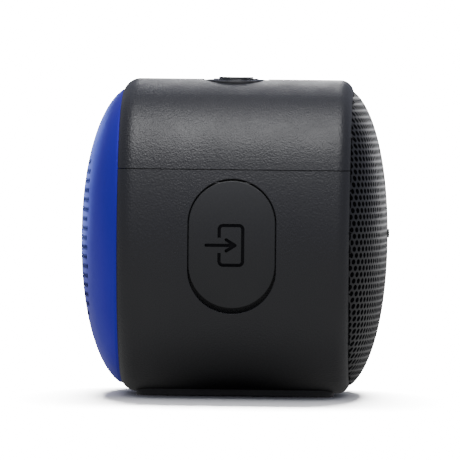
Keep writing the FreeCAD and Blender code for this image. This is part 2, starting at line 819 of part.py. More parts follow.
def control_pad():
    plate = stadium(PAD_RADIUS - 0.1, PAD_HALF_LENGTH - 0.1, CENTRE_Z, 2 * FAR)
    plate = crowned(plate, 0, PAD_UNDERSIDE)
    rim = skin(WALL + 0.05, WALL + 1.2)
    rim = rim.common(stadium(PAD_RADIUS + 1.4, PAD_HALF_LENGTH + 1.4, CENTRE_Z, 2 * FAR))
    rim = rim.cut(stadium(PAD_RADIUS - 0.5, PAD_HALF_LENGTH - 0.5, CENTRE_Z, 2 * FAR))
    pad = plate.fuse(rim).cut(centre_key_column(CENTRE_KEY_RADIUS + KEY_GAP))
    for side in SIDES:
        pad = pad.cut(side_key_column(side, KEY_GAP))
    return pad.removeSplitter()


def key(cap, flange_column, x):
    """A crowned cap with a flange and a stem below it."""
    flange_top = PAD_UNDERSIDE + 0.25
    flange = skin(flange_top, flange_top + 1.0).common(flange_column)
    stem = rod(1.1, Vector(x, PAD_Y, KEY_TIP_Z), Vector(x, PAD_Y, 81))
    stem = stem.common(barrel(flange_top, -FAR, FAR))
    return joined(cap, flange, stem)


def centre_key():
    """A stepped round key with an engraved triangle."""
    underside = PAD_UNDERSIDE + 0.75
    step = crowned(centre_key_column(CENTRE_KEY_RADIUS), CENTRE_KEY_PROUD, underside)
    cap = crowned(centre_key_column(CENTRE_CAP_RADIUS), CENTRE_CAP_PROUD, underside)
    flange_column = centre_key_column(CENTRE_KEY_RADIUS + KEY_FLANGE)
    return key(step.fuse(cap), flange_column, 0).cut(play_sign())


def play_sign():
    """A shallow engraved triangle on the centre key's cap."""
    half, length = 1.3, 2.2
    base_z = CENTRE_Z + HALF_SIZE - PAD_RECESS + CENTRE_CAP_PROUD - SIGN_DEPTH
    corners = [
        Vector(-half, PAD_Y - length / 3, base_z),
        Vector(half, PAD_Y - length / 3, base_z),
        Vector(0, PAD_Y + length * 2 / 3, base_z),
    ]
    return Part.Face(Part.makePolygon(corners + corners[:1])).extrude(ALONG_Z * 3)


def side_key(side):
    """A crescent key with an engraved minus (side -1) or plus (side 1)."""
    cap = crowned(side_key_column(side, 0), SIDE_KEY_PROUD, PAD_UNDERSIDE + 0.75)
    shape = key(cap, side_key_column(side, KEY_FLANGE), side * SWITCH_X)
    floor = crowned(centre_key_column(PAD_RADIUS + 4), SIDE_KEY_PROUD - SIGN_DEPTH, 6.0)
    bars = [(0.35, 1.6), (1.6, 0.35)] if side > 0 else [(0.35, 1.6)]
    x = side * SWITCH_X
    for wide, tall in bars:
        spans = (x - wide / 2, x + wide / 2), (PAD_Y - tall / 2, PAD_Y + tall / 2)
        bar = block(*spans, (CENTRE_Z, 2 * FAR))
        shape = shape.cut(bar.cut(floor))
    return shape


def control_board():
    board = block(
        (-13, 13),
        (PAD_Y - 14.8, PAD_Y + 14.8),
        (CONTROL_BOARD_Z - BOARD_THICK, CONTROL_BOARD_Z),
        2.0,
    )
    for y in CONTROL_POST_Y:
        start = Vector(0, y, CONTROL_BOARD_Z - BOARD_THICK)
        board = board.cut(rod(1.1, start, start + ALONG_Z * BOARD_THICK))
    return board


def key_switches():
    """Three domed switches: a square base with a low round button."""
    switches = []
    for x in (-SWITCH_X, 0, SWITCH_X):
        base = block(
            (x - 2.2, x + 2.2), (PAD_Y - 2.2, PAD_Y + 2.2), (CONTROL_BOARD_Z, CONTROL_BOARD_Z + 0.4)
        )
        button = rod(
            1.2, Vector(x, PAD_Y, CONTROL_BOARD_Z + 0.4), Vector(x, PAD_Y, SWITCH_TOP_Z)
        )
        switches.append(joined(base, button))
    return switches


# ---- Inside: boards, battery and wires ---------------------------------------------


def main_board():
    board = block(
        (-MAIN_BOARD_HALF_X, MAIN_BOARD_HALF_X),
        MAIN_BOARD_Y,
        (MAIN_BOARD_Z - BOARD_THICK, MAIN_BOARD_Z),
        1.5,
    )
    for x in (-MAIN_POST_X, MAIN_POST_X):
        for y in MAIN_POST_Y:
            start = Vector(x, y, MAIN_BOARD_Z - BOARD_THICK)
            board = board.cut(rod(1.1, start, start + ALONG_Z * BOARD_THICK))
    return board


def board_screws():
    """Identical screws under the control board and the main board."""
    seats = [Vector(0, y, CONTROL_BOARD_Z - BOARD_THICK) for y in CONTROL_POST_Y]
    for x in (-MAIN_POST_X, MAIN_POST_X):
        seats += [Vector(x, y, MAIN_BOARD_Z - BOARD_THICK) for y in MAIN_POST_Y]
    return [screw(seat, ALONG_Z, 5.5) for seat in seats]


def on_main_board(x, y, width, depth, height):
    """A square component on the main board's upper side."""
    half_w, half_d = width / 2, depth / 2
    z = (MAIN_BOARD_Z, MAIN_BOARD_Z + height)
    return block((x - half_w, x + half_w), (y - half_d, y + half_d), z, 0.2)


def capacitors():
    cans = []
    for x in (-12.0, -5.0):
        cans.append(rod(2.9, Vector(x, 18.0, MAIN_BOARD_Z), Vector(x, 18.0, MAIN_BOARD_Z + 7)))
    return cans


def ribbon_connectors():
    low = block((-5, 5), (7.4, 10.2), (MAIN_BOARD_Z, MAIN_BOARD_Z + 1.4))
    board_z = CONTROL_BOARD_Z - BOARD_THICK
    high = block((-5, 5), (7.4, 9.6), (board_z - 1.4, board_z))
    return low, high


def ribbon_cable():
    z = (MAIN_BOARD_Z + 1.4, CONTROL_BOARD_Z - BOARD_THICK - 1.4)
    return block((-4, 4), (8.4, 8.65), z)


HOLDER_SCREW_Y = (-18.6, 22.2)


def battery_holder():
    """An open tray with an ear at each end."""
    wall = 1.5
    gap = 0.2
    x = BATTERY_HALF_X + gap
    y = (BATTERY_Y[0] - gap, BATTERY_Y[1] + gap)
    top = 13.5
    tray = block((-x - wall, x + wall), (y[0] - wall, y[1] + wall), (HOLDER_BASE[0], top), 1.5)
    tray = tray.cut(block((-x, x), y, (HOLDER_BASE[1], top)))
    tray = tray.cut(block((-6, 6), (y[1], FAR), (HOLDER_BASE[1] + 2, top)))
    for screw_y in HOLDER_SCREW_Y:
        ends = sorted((screw_y, -14.0 if screw_y < 0 else 20.0))
        ear = block((-2.4, 2.4), ends, HOLDER_BASE)
        ear = ear.fuse(
            rod(2.4, Vector(0, screw_y, HOLDER_BASE[0]), Vector(0, screw_y, HOLDER_BASE[1]))
        )
        tray = tray.fuse(ear)
    for screw_y in HOLDER_SCREW_Y:
        tray = tray.cut(rod(1.1, Vector(0, screw_y, 0), Vector(0, screw_y, HOLDER_BASE[1])))
    tray = tray.cut(block((-4, 4), (19.5, FAR), (HOLDER_BASE[1], FAR)))
    return tray.removeSplitter()


def holder_screws():
    return [
        screw(Vector(0, y, HOLDER_BASE[1]), ALONG_Z * -1, 4.8, head_radius=1.6)
        for y in HOLDER_SCREW_Y
    ]


def battery():
    pouch = block((-BATTERY_HALF_X, BATTERY_HALF_X), BATTERY_Y, BATTERY_Z)
    return pouch.makeFillet(2.0, pouch.Edges)


LEAD_X = (11.0, 13.0)
CONNECTOR_Y = 20.6


def battery_leads():
    leads = []
    for x in LEAD_X:
        route = [
            Vector(x, BATTERY_Y[1] + 0.02, 16.0),
            Vector(x, CONNECTOR_Y + 1.2, 16.0),
            Vector(x, CONNECTOR_Y + 1.2, 40.0),
            Vector(x, CONNECTOR_Y, 48.0),
            Vector(x, CONNECTOR_Y, MAIN_BOARD_Z - BOARD_THICK - 3.0),
        ]
        leads.append(lead(route, 0.6, 1.3))
    return leads


def battery_connector():
    top = MAIN_BOARD_Z - BOARD_THICK
    return block((LEAD_X[0] - 1.8, LEAD_X[1] + 1.8), (19.2, 22.0), (top - 3.0, top), 0.3)


# ---- Write every sub-part ----------------------------------------------------------


def main():
    os.makedirs("parts", exist_ok=True)
    shell = housing_shell()

    save("main_housing", main_housing(shell))
    save("top_cover", top_cover(shell))
    save("seam_gaskets", seam_gaskets())
    save("seam_screws", *seam_screws())
    save("foot_pad", foot_pad())

    save(
        "front_grille",
        dome_shell(DOME_RIM_INSET, GRILLE_HEIGHT, GRILLE_THICK, -HALF_DEPTH, -1, LIP_DEPTH - 0.1),
    )
    cloth_inset = DOME_RIM_INSET + GRILLE_THICK + CLOTH_GAP
    save(
        "grille_cloth",
        dome_shell(
            cloth_inset,
            GRILLE_HEIGHT - GRILLE_THICK - CLOTH_GAP,
            CLOTH_THICK,
            -HALF_DEPTH,
            -1,
            0,
        ),
    )
    save("grille_badge", grille_badge())
    save("front_baffle", front_baffle())
    save("frame_screws", *frame_screws())

    flange_back = FLANGE_FRONT_Y + FLANGE_THICK
    gasket = washer(BASKET_RADIUS + 0.7, FLANGE_RADIUS, flange_back, flange_back + GASKET_THICK)
    save("driver_gasket", with_screw_holes(gasket, flange_back, flange_back + GASKET_THICK))
    save("driver_frame", driver_frame())
    save("driver_screws", *driver_screws())
    save("driver_surround", half_roll(21.4, 2.4, 0.5, FLANGE_FRONT_Y, -1, 17.8, 25.6))
    save("driver_cone", driver_cone())
    save("driver_dust_cap", driver_dust_cap())
    save("driver_spider", driver_spider())
    save("coil_former", washer(COIL_RADIUS - 0.2, COIL_RADIUS, -23.4, -8.6))
    save("voice_coil", washer(COIL_RADIUS, COIL_RADIUS + 0.45, -14.6, -8.6))
    save("driver_top_plate", washer(11.1, 15.5, BASKET_BASE_Y, -9.5))
    save("driver_magnet", washer(11.8, MAGNET_RADIUS, -9.5, -1.5))
    save("driver_yoke", yoke())
    save("terminal_strip", terminal_strip())
    save("terminal_lugs", *terminal_lugs())
    save("speaker_leads", *speaker_leads())

    save(
        "back_cover",
        dome_shell(DOME_RIM_INSET, COVER_HEIGHT, COVER_THICK, HALF_DEPTH, 1, LIP_DEPTH - 0.1),
    )
    save(
        "back_cloth",
        dome_shell(
            DOME_RIM_INSET + COVER_THICK + CLOTH_GAP,
            COVER_HEIGHT - COVER_THICK - CLOTH_GAP,
            CLOTH_THICK,
            HALF_DEPTH,
            1,
            0,
        ),
    )
    save("back_frame", screwed_frame(RADIATOR_OPENING, FRAME_Y, LIP_Y))
    save("radiator_surround", radiator_surround())
    save("radiator_plate", disc(RADIATOR_PLATE, LIP_Y - 1.2, LIP_Y))
    save("radiator_weight", disc(9.0, LIP_Y - 3.2, LIP_Y - 1.2))

    save("port_cover", port_cover())
    save(
        "port_cover_pin",
        rod(PIN_RADIUS, Vector(HINGE_X, -6.4, HINGE_Z), Vector(HINGE_X, 6.4, HINGE_Z)),
    )
    save("port_tray", port_tray())
    save("port_board", port_board())
    save("port_board_screws", *port_screws())
    save("usb_shell", usb_shell())
    save("usb_insulator", *usb_insulator())
    save("aux_jack", jack_body())
    save("aux_jack_contacts", *jack_contacts())
    save("port_cable", *port_cable())

    save("control_pad", control_pad())
    save("key_power", centre_key())
    save("key_volume_down", side_key(-1))
    save("key_volume_up", side_key(1))
    save("control_board", control_board())
    save("key_switches", *key_switches())

    save("main_board", main_board())
    save("board_screws", *board_screws())
    save("wireless_module", on_main_board(11.5, 4.5, 12.0, 15.0, 2.2))
    save("amplifier_chip", on_main_board(-10.5, 8.5, 6.0, 6.0, 1.0))
    save("power_coils", on_main_board(-10.0, -1.5, 5.5, 5.5, 3.6), on_main_board(13, 17.5, 4, 4, 2))
    save("capacitors", *capacitors())
    save("ribbon_connectors", *ribbon_connectors())
    save("ribbon_cable", ribbon_cable())
    save("battery", battery())
    save("battery_holder", battery_holder())
    save("battery_holder_screws", *holder_screws())
    save("battery_leads", *battery_leads())
    save("battery_connector", battery_connector())


main()
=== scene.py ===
import json
import math

import bmesh
import bpy
import numpy as np
from mathutils import Matrix, Vector


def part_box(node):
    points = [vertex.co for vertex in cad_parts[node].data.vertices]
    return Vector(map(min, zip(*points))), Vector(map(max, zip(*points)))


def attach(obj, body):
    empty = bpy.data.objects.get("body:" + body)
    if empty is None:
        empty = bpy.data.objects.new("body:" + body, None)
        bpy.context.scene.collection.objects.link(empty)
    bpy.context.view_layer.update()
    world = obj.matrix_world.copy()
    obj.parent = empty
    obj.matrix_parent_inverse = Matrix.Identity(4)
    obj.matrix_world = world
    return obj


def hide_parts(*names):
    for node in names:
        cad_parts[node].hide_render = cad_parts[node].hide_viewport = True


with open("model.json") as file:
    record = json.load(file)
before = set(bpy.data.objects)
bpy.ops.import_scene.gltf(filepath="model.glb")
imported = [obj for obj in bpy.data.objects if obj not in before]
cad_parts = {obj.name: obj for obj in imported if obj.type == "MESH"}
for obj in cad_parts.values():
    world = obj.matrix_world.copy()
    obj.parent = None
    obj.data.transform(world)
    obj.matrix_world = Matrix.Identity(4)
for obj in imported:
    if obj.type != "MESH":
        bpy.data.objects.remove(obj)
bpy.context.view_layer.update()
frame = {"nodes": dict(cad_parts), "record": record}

MM = 0.001
WHITE = 22.0

# ---- Places taken from the frame ---------------------------------------------------

grille_low, grille_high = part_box("front_grille")
cover_low, cover_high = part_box("back_cover")
CENTRE_Z = (grille_low[2] + grille_high[2]) / 2
RIM_HALF = (grille_high[0] - grille_low[0]) / 2
HOUSING_HALF = 40.7 * MM
FOOT_HEIGHT = 0.6 * MM
FRONT_Y = -29.9 * MM
BACK_Y = 29.9 * MM

# The housing's outline: eight tangent arcs, as the CAD model has them.
SIDE_RADIUS = 52.0 * MM
JOIN_ANGLE = math.radians(22.5)
RIM_INSET = HOUSING_HALF - RIM_HALF
SIDE_CENTRE = SIDE_RADIUS - HOUSING_HALF
ARC_STEP = SIDE_CENTRE / (math.cos(JOIN_ANGLE) - math.sin(JOIN_ANGLE))
CORNER_CENTRE = ARC_STEP * math.sin(JOIN_ANGLE)

# The domes' profile, as in CAD.
DOME_EXPONENT = 2.1
DOME_RIM_RATIO = 0.9694

# The port cover's painted shade in its engraved mark: the middle of the shaded band below its face,
# and half the band.
GROOVE_SHADE_DEPTH = 0.8 * MM
GROOVE_SHADE_REACH = 0.36 * MM

# The control pad's level surfaces would mirror the card behind the object.
SHADED_FROM_BEHIND = ("control_pad", "key_volume_up", "key_volume_down")


# ---- Camera, stage and light -------------------------------------------------------


def aim(obj, place, target, roll=0.0):
    """Stand obj at place, looking at target, turned by roll about its own axis."""
    turn = (target - place).to_track_quat("-Z", "Y").to_matrix().to_4x4()
    obj.matrix_world = Matrix.Translation(place) @ turn @ Matrix.Rotation(roll, 4, "Z")


def make_camera():
    data = bpy.data.cameras.new("photo_camera")
    data.sensor_width = 36.0
    data.lens = 497.0
    data.clip_start = 0.01
    camera = bpy.data.objects.new("photo_camera", data)
    bpy.context.scene.collection.objects.link(camera)
    distance = 1.65
    yaw = math.radians(1.98)
    rise = math.radians(1.7)
    middle = Vector((0.0, 0.0005, 0.0412))
    away = Vector((-math.cos(yaw), -math.sin(yaw), math.tan(rise)))
    right_offset, up_offset = -0.0014, 0.0015
    target = middle + Vector((0, -right_offset, up_offset))
    aim(camera, middle + away * distance, target, math.radians(0.63))
    bpy.context.scene.camera = camera


def soft_light(name, place, target, size, radiance, receivers):
    """A rectangular area light of a given radiance, not seen by the camera itself."""
    data = bpy.data.lights.new(name, "AREA")
    data.shape = "RECTANGLE"
    data.size, data.size_y = size
    data.energy = radiance * math.pi * size[0] * size[1]
    light = bpy.data.objects.new(name, data)
    bpy.context.scene.collection.objects.link(light)
    aim(light, Vector(place), Vector(target))
    light.visible_camera = False
    light.light_linking.receiver_collection = receivers
    return light


def emission_material(name, radiance):
    material = bpy.data.materials.new(name)
    material.use_nodes = True
    tree = material.node_tree
    tree.nodes.clear()
    glow = tree.nodes.new("ShaderNodeEmission")
    glow.inputs["Color"].default_value = (1, 1, 1, 1)
    glow.inputs["Strength"].default_value = radiance
    output = tree.nodes.new("ShaderNodeOutputMaterial")
    tree.links.new(glow.outputs[0], output.inputs["Surface"])
    return material


def stage_sheet(name, corners, material):
    """A flat sheet that belongs to the studio, not to the object."""
    mesh = bpy.data.meshes.new(name)
    mesh.from_pydata(corners, [], [(0, 1, 2, 3)])
    mesh.materials.append(material)
    sheet = bpy.data.objects.new(name, mesh)
    bpy.context.scene.collection.objects.link(sheet)
    return sheet


def level_corners(half, z):
    return [(-half, -half, z), (half, -half, z), (half, half, z), (-half, half, z)]


def make_bounce_material():
    """Light thrown up by the floor: none beside the object, full further out."""
    material = emission_material("bounce", 1.0)
    tree = material.node_tree
    fade = radial_fade(tree, 0.01, 0.06)
    fade.inputs["To Max"].default_value = 0.6
    tree.links.new(fade.outputs["Result"], tree.nodes["Emission"].inputs["Strength"])
    return material


def radial_fade(tree, start, end):
    """Rise from 0 to 1 between two distances from the middle of the floor."""
    fade = tree.nodes.new("ShaderNodeMapRange")
    fade.interpolation_type = "SMOOTHSTEP"
    fade.inputs["From Min"].default_value = start
    fade.inputs["From Max"].default_value = end
    tree.links.new(vector_maths(tree, "LENGTH", place_node(tree)), fade.inputs["Value"])
    return fade


def make_floor_material():
    """A pale matt floor that turns to plain white away from the object."""
    material = bpy.data.materials.new("pale_floor")
    material.use_nodes = True
    tree = material.node_tree
    shader = tree.nodes["Principled BSDF"]
    shader.inputs["Base Color"].default_value = (0.86, 0.86, 0.86, 1)
    shader.inputs["Roughness"].default_value = 0.9
    shader.inputs["Specular IOR Level"].default_value = 0.0
    glow = tree.nodes.new("ShaderNodeEmission")
    glow.inputs["Strength"].default_value = WHITE
    fade = radial_fade(tree, 0.12, 0.32)
    blend = tree.nodes.new("ShaderNodeMixShader")
    tree.links.new(fade.outputs["Result"], blend.inputs["Fac"])
    tree.links.new(shader.outputs[0], blend.inputs[1])
    tree.links.new(glow.outputs[0], blend.inputs[2])
    tree.links.new(blend.outputs[0], tree.nodes["Material Output"].inputs["Surface"])
    return material


def make_backdrop():
    """A white sphere round the studio, which only the camera sees."""
    shape = bmesh.new()
    bmesh.ops.create_uvsphere(shape, u_segments=48, v_segments=24, radius=8.0)
    mesh = bpy.data.meshes.new("backdrop")
    shape.to_mesh(mesh)
    shape.free()
    mesh.materials.append(emission_material("backdrop", WHITE))
    backdrop = bpy.data.objects.new("backdrop", mesh)
    bpy.context.scene.collection.objects.link(backdrop)
    for ray in ("diffuse", "glossy", "transmission", "shadow", "volume_scatter"):
        setattr(backdrop, "visible_" + ray, False)


def make_stage():
    floor = stage_sheet("floor", level_corners(6.0, 0.0), make_floor_material())
    floor.visible_glossy = False
    floor.visible_diffuse = False
    bounce = stage_sheet("bounce", level_corners(6.0, -0.0005), make_bounce_material())
    bounce.visible_camera = False
    bounce.visible_shadow = False

    make_backdrop()

    world = bpy.data.worlds.new("studio")
    bpy.context.scene.world = world
    world.use_nodes = True
    background = world.node_tree.nodes["Background"]
    background.inputs["Color"].default_value = (0.90, 0.93, 1.12, 1)
    background.inputs["Strength"].default_value = 0.4
    return floor


def make_lights(floor):
    """Light each part of the picture by its own soft lights.

    Returns the collections that the built pieces join, by the lights that they receive."""
    only_floor = bpy.data.collections.new("only_floor")
    only_floor.objects.link(floor)
    only_body = bpy.data.collections.new("only_body")
    rear_lit = bpy.data.collections.new("rear_lit")
    for name, node in frame["nodes"].items():
        only_body.objects.link(node)
        if name not in SHADED_FROM_BEHIND:
            rear_lit.objects.link(node)
    only_grille = bpy.data.collections.new("only_grille")
    only_cover = bpy.data.collections.new("only_cover")
    soft_light("floor_key", (0.56, 0, 1.28), (0, 0, 0), (0.75, 0.5), 390.0, only_floor)
    soft_light("floor_fill", (0, 0, 1.2), (0, 0, 0), (2.0, 2.0), 2.0, only_floor)
    soft_light("top_light", (-0.15, 0, 0.62), (0, 0, 0.04), (0.38, 0.36), 7.0, only_body)
    soft_light("grille_top", (-0.15, 0, 0.62), (0, 0, 0.04), (0.38, 0.36), 2.4, only_grille)
    soft_light("upper_fill", (-0.62, 0.0, 0.55), (0, 0, 0.04), (0.5, 0.8), 0.7, only_body)
    soft_light("rear_card", (1.0, 0.0, 0.14), (0, 0, 0.06), (0.12, 0.9), 7.5, rear_lit)
    soft_light("right_card", (1.0, -0.32, 0.25), (0, 0, 0.04), (0.4, 0.6), 2.8, only_grille)
    left_card = soft_light(
        "left_card", (1.0, 0.36, 0.0), (0, 0, 0.04), (0.4, 0.5), 3.4, only_cover
    )
    left_card.data.color = (0.42, 0.58, 1.0)
    return {"body": only_body, "grille": only_grille, "cover": only_cover}


# ---- Materials ---------------------------------------------------------------------


def new_material(name, colour, roughness, specular=0.5, metallic=0.0):
    """A Principled material; its constants are set on the shader itself."""
    material = bpy.data.materials.new(name)
    material.use_nodes = True
    shader = material.node_tree.nodes["Principled BSDF"]
    shader.inputs["Base Color"].default_value = (*colour, 1)
    shader.inputs["Roughness"].default_value = roughness
    shader.inputs["Specular IOR Level"].default_value = specular
    shader.inputs["Metallic"].default_value = metallic
    return material, material.node_tree, shader


def place_node(tree):
    """Coordinates in metres that stay with the object."""
    return tree.nodes.new("ShaderNodeTexCoord").outputs["Object"]


def noise(tree, size_mm, detail=3.0, roughness=0.55, vector=None):
    node = tree.nodes.new("ShaderNodeTexNoise")
    node.inputs["Scale"].default_value = 1000.0 / size_mm
    node.inputs["Detail"].default_value = detail
    node.inputs["Roughness"].default_value = roughness
    tree.links.new(vector or place_node(tree), node.inputs["Vector"])
    return node.outputs["Fac"]


def cells(tree, size_mm):
    node = tree.nodes.new("ShaderNodeTexVoronoi")
    node.feature = "SMOOTH_F1"
    node.inputs["Scale"].default_value = 1000.0 / size_mm
    tree.links.new(place_node(tree), node.inputs["Vector"])
    return node.outputs["Distance"]


def vector_maths(tree, kind, first, second=None):
    node = tree.nodes.new("ShaderNodeVectorMath")
    node.operation = kind
    tree.links.new(first, node.inputs[0])
    if second is not None:
        node.inputs[1].default_value = second
    return node.outputs["Value" if kind == "LENGTH" else "Vector"]


def maths(tree, kind, first, second):
    node = tree.nodes.new("ShaderNodeMath")
    node.operation = kind
    for socket, value in zip(node.inputs, (first, second)):
        if isinstance(value, (int, float)):
            socket.default_value = value
        else:
            tree.links.new(value, socket)
    return node.outputs[0]


def spread(tree, value, low, high):
    """Stretch a 0 to 1 value between two limits."""
    node = tree.nodes.new("ShaderNodeMapRange")
    node.inputs["From Min"].default_value = 0.3
    node.inputs["From Max"].default_value = 0.7
    node.inputs["To Min"].default_value = low
    node.inputs["To Max"].default_value = high
    tree.links.new(value, node.inputs["Value"])
    return node.outputs["Result"]


def tinted(tree, value, dark, light):
    """Mix two colours, each a tuple or another node's output."""
    node = tree.nodes.new("ShaderNodeMix")
    node.data_type = "RGBA"
    for name, colour in (("A", dark), ("B", light)):
        if isinstance(colour, tuple):
            node.inputs[name].default_value = (*colour, 1)
        else:
            tree.links.new(colour, node.inputs[name])
    tree.links.new(value, node.inputs["Factor"])
    return node.outputs["Result"]


def bump(tree, shader, height, depth_mm):
    node = tree.nodes.new("ShaderNodeBump")
    node.inputs["Strength"].default_value = 1.0
    node.inputs["Distance"].default_value = depth_mm * MM
    tree.links.new(height, node.inputs["Height"])
    tree.links.new(node.outputs["Normal"], shader.inputs["Normal"])


def grained_plastic(name, colour, roughness, grain_mm, depth_mm, specular=0.5):
    """Moulded plastic with a leather-like pebble grain and slight wear in its gloss."""
    material, tree, shader = new_material(name, colour, roughness, specular)
    pebbles = cells(tree, grain_mm)
    lumps = noise(tree, grain_mm * 1.3, 3.0, 0.6)
    height = maths(tree, "ADD", pebbles, lumps)
    bump(tree, shader, height, depth_mm)
    patches = noise(tree, 14.0, 2.0)
    dark = tuple(c * 0.88 for c in colour)
    light = tuple(min(1.0, c * 1.12) for c in colour)
    tree.links.new(tinted(tree, patches, dark, light), shader.inputs["Base Color"])
    tree.links.new(
        spread(tree, noise(tree, 9.0, 4.0), roughness - 0.04, roughness + 0.05),
        shader.inputs["Roughness"],
    )
    return material


def smooth_coating(name, colour, roughness, specular=0.5, metallic=0.0, coat=0.0):
    """Paint or polished plastic: a very fine orange peel and faint gloss changes."""
    material, tree, shader = new_material(name, colour, roughness, specular, metallic)
    shader.inputs["Coat Weight"].default_value = coat
    shader.inputs["Coat Roughness"].default_value = 0.08
    bump(tree, shader, noise(tree, 0.12, 2.0), 0.004)
    patches = noise(tree, 11.0, 3.0)
    dark = tuple(c * 0.93 for c in colour)
    light = tuple(min(1.0, c * 1.06) for c in colour)
    tree.links.new(tinted(tree, patches, dark, light), shader.inputs["Base Color"])
    low = max(0.02, roughness - 0.03)
    tree.links.new(spread(tree, noise(tree, 6.0, 4.0), low, roughness + 0.03),
                   shader.inputs["Roughness"])
    return material


def blue_coating(name, colour, roughness):
    """Satin metallic paint whose sheen keeps the paint's hue."""
    material = smooth_coating(name, colour, roughness, 0.5, metallic=0.5)
    shader = material.node_tree.nodes["Principled BSDF"]
    shader.inputs["Specular Tint"].default_value = (0.42, 0.48, 1.0, 1)
    return material


def soft_rubber(name):
    return grained_plastic(name, (0.014, 0.0145, 0.016), 0.52, 0.3, 0.012)


def rubber_with_painted_groove_shade(name, cover):
    """The port cover's rubber, with painted shade just below its outer face: dark colour with almost
    no reflection in the engraved mark's groove and on the cover's edge walls.
    """
    material = soft_rubber(name)
    tree = material.node_tree
    shader = tree.nodes["Principled BSDF"]
    axis = cover.matrix_world.inverted() @ Vector((SIDE_CENTRE, 0.0, HOUSING_HALF + FOOT_HEIGHT))
    offset = vector_maths(tree, "SUBTRACT", place_node(tree), axis)
    reach = vector_maths(tree, "LENGTH", vector_maths(tree, "MULTIPLY", offset, (1.0, 0.0, 1.0)))
    # Painted shade: the band just below the face, where the engraving and the cover's edge gap lie,
    # is made dark and nearly unreflecting.
    shade_band = maths(tree, "COMPARE", reach, SIDE_RADIUS - GROOVE_SHADE_DEPTH)
    shade_band.node.inputs[2].default_value = GROOVE_SHADE_REACH
    bare = shader.inputs["Base Color"].links[0].from_socket
    groove_shaded_colour = tinted(tree, shade_band, bare, (0.018, 0.018, 0.02))
    tree.links.new(groove_shaded_colour, shader.inputs["Base Color"])
    tree.links.new(shade_band, shader.inputs["Metallic"])
    return material


def brushed_metal(name, colour, roughness, metallic=1.0):
    """Metal with fine drawn lines along X."""
    material, tree, shader = new_material(name, colour, roughness, 0.5, metallic)
    mapping = tree.nodes.new("ShaderNodeMapping")
    mapping.inputs["Scale"].default_value = (0.05, 1.0, 1.0)
    tree.links.new(place_node(tree), mapping.inputs["Vector"])
    lines = noise(tree, 0.09, 2.0, vector=mapping.outputs["Vector"])
    bump(tree, shader, lines, 0.004)
    tree.links.new(spread(tree, lines, roughness - 0.06, roughness + 0.08),
                   shader.inputs["Roughness"])
    patches = noise(tree, 5.0, 3.0)
    dark = tuple(c * 0.88 for c in colour)
    tree.links.new(tinted(tree, patches, dark, colour), shader.inputs["Base Color"])
    return material


def woven_cloth(name, colour, thread_mm):
    """Cloth: crossing threads from two wave textures, with painted shade between the threads."""
    material, tree, shader = new_material(name, colour, 0.95, 0.2)
    heights = []
    for direction in ("X", "Z"):
        wave = tree.nodes.new("ShaderNodeTexWave")
        wave.bands_direction = direction
        wave.inputs["Scale"].default_value = 1000.0 / (thread_mm * 3.2)
        wave.inputs["Distortion"].default_value = 0.4
        tree.links.new(place_node(tree), wave.inputs["Vector"])
        heights.append(wave.outputs["Fac"])
    weave = maths(tree, "MAXIMUM", *heights)
    bump(tree, shader, weave, thread_mm * 0.3)
    # Painted shade: the colour darkens where the weave is low, between the threads.
    dark = tuple(c * 0.4 for c in colour)
    tree.links.new(tinted(tree, weave, dark, colour), shader.inputs["Base Color"])
    return material


def circuit_board(name):
    """Solder mask over copper tracks, which show as slightly raised lighter lines."""
    green, track = (0.012, 0.10, 0.045), (0.03, 0.20, 0.09)
    material, tree, shader = new_material(name, green, 0.32)
    voronoi = tree.nodes.new("ShaderNodeTexVoronoi")
    voronoi.distance = "MANHATTAN"
    voronoi.feature = "F1"
    voronoi.inputs["Scale"].default_value = 350.0
    tree.links.new(place_node(tree), voronoi.inputs["Vector"])
    lines = maths(tree, "PINGPONG", maths(tree, "MULTIPLY", voronoi.outputs["Distance"], 6.0), 0.5)
    tree.links.new(tinted(tree, maths(tree, "GREATER_THAN", lines, 0.33), green, track),
                   shader.inputs["Base Color"])
    bump(tree, shader, lines, 0.02)
    return material


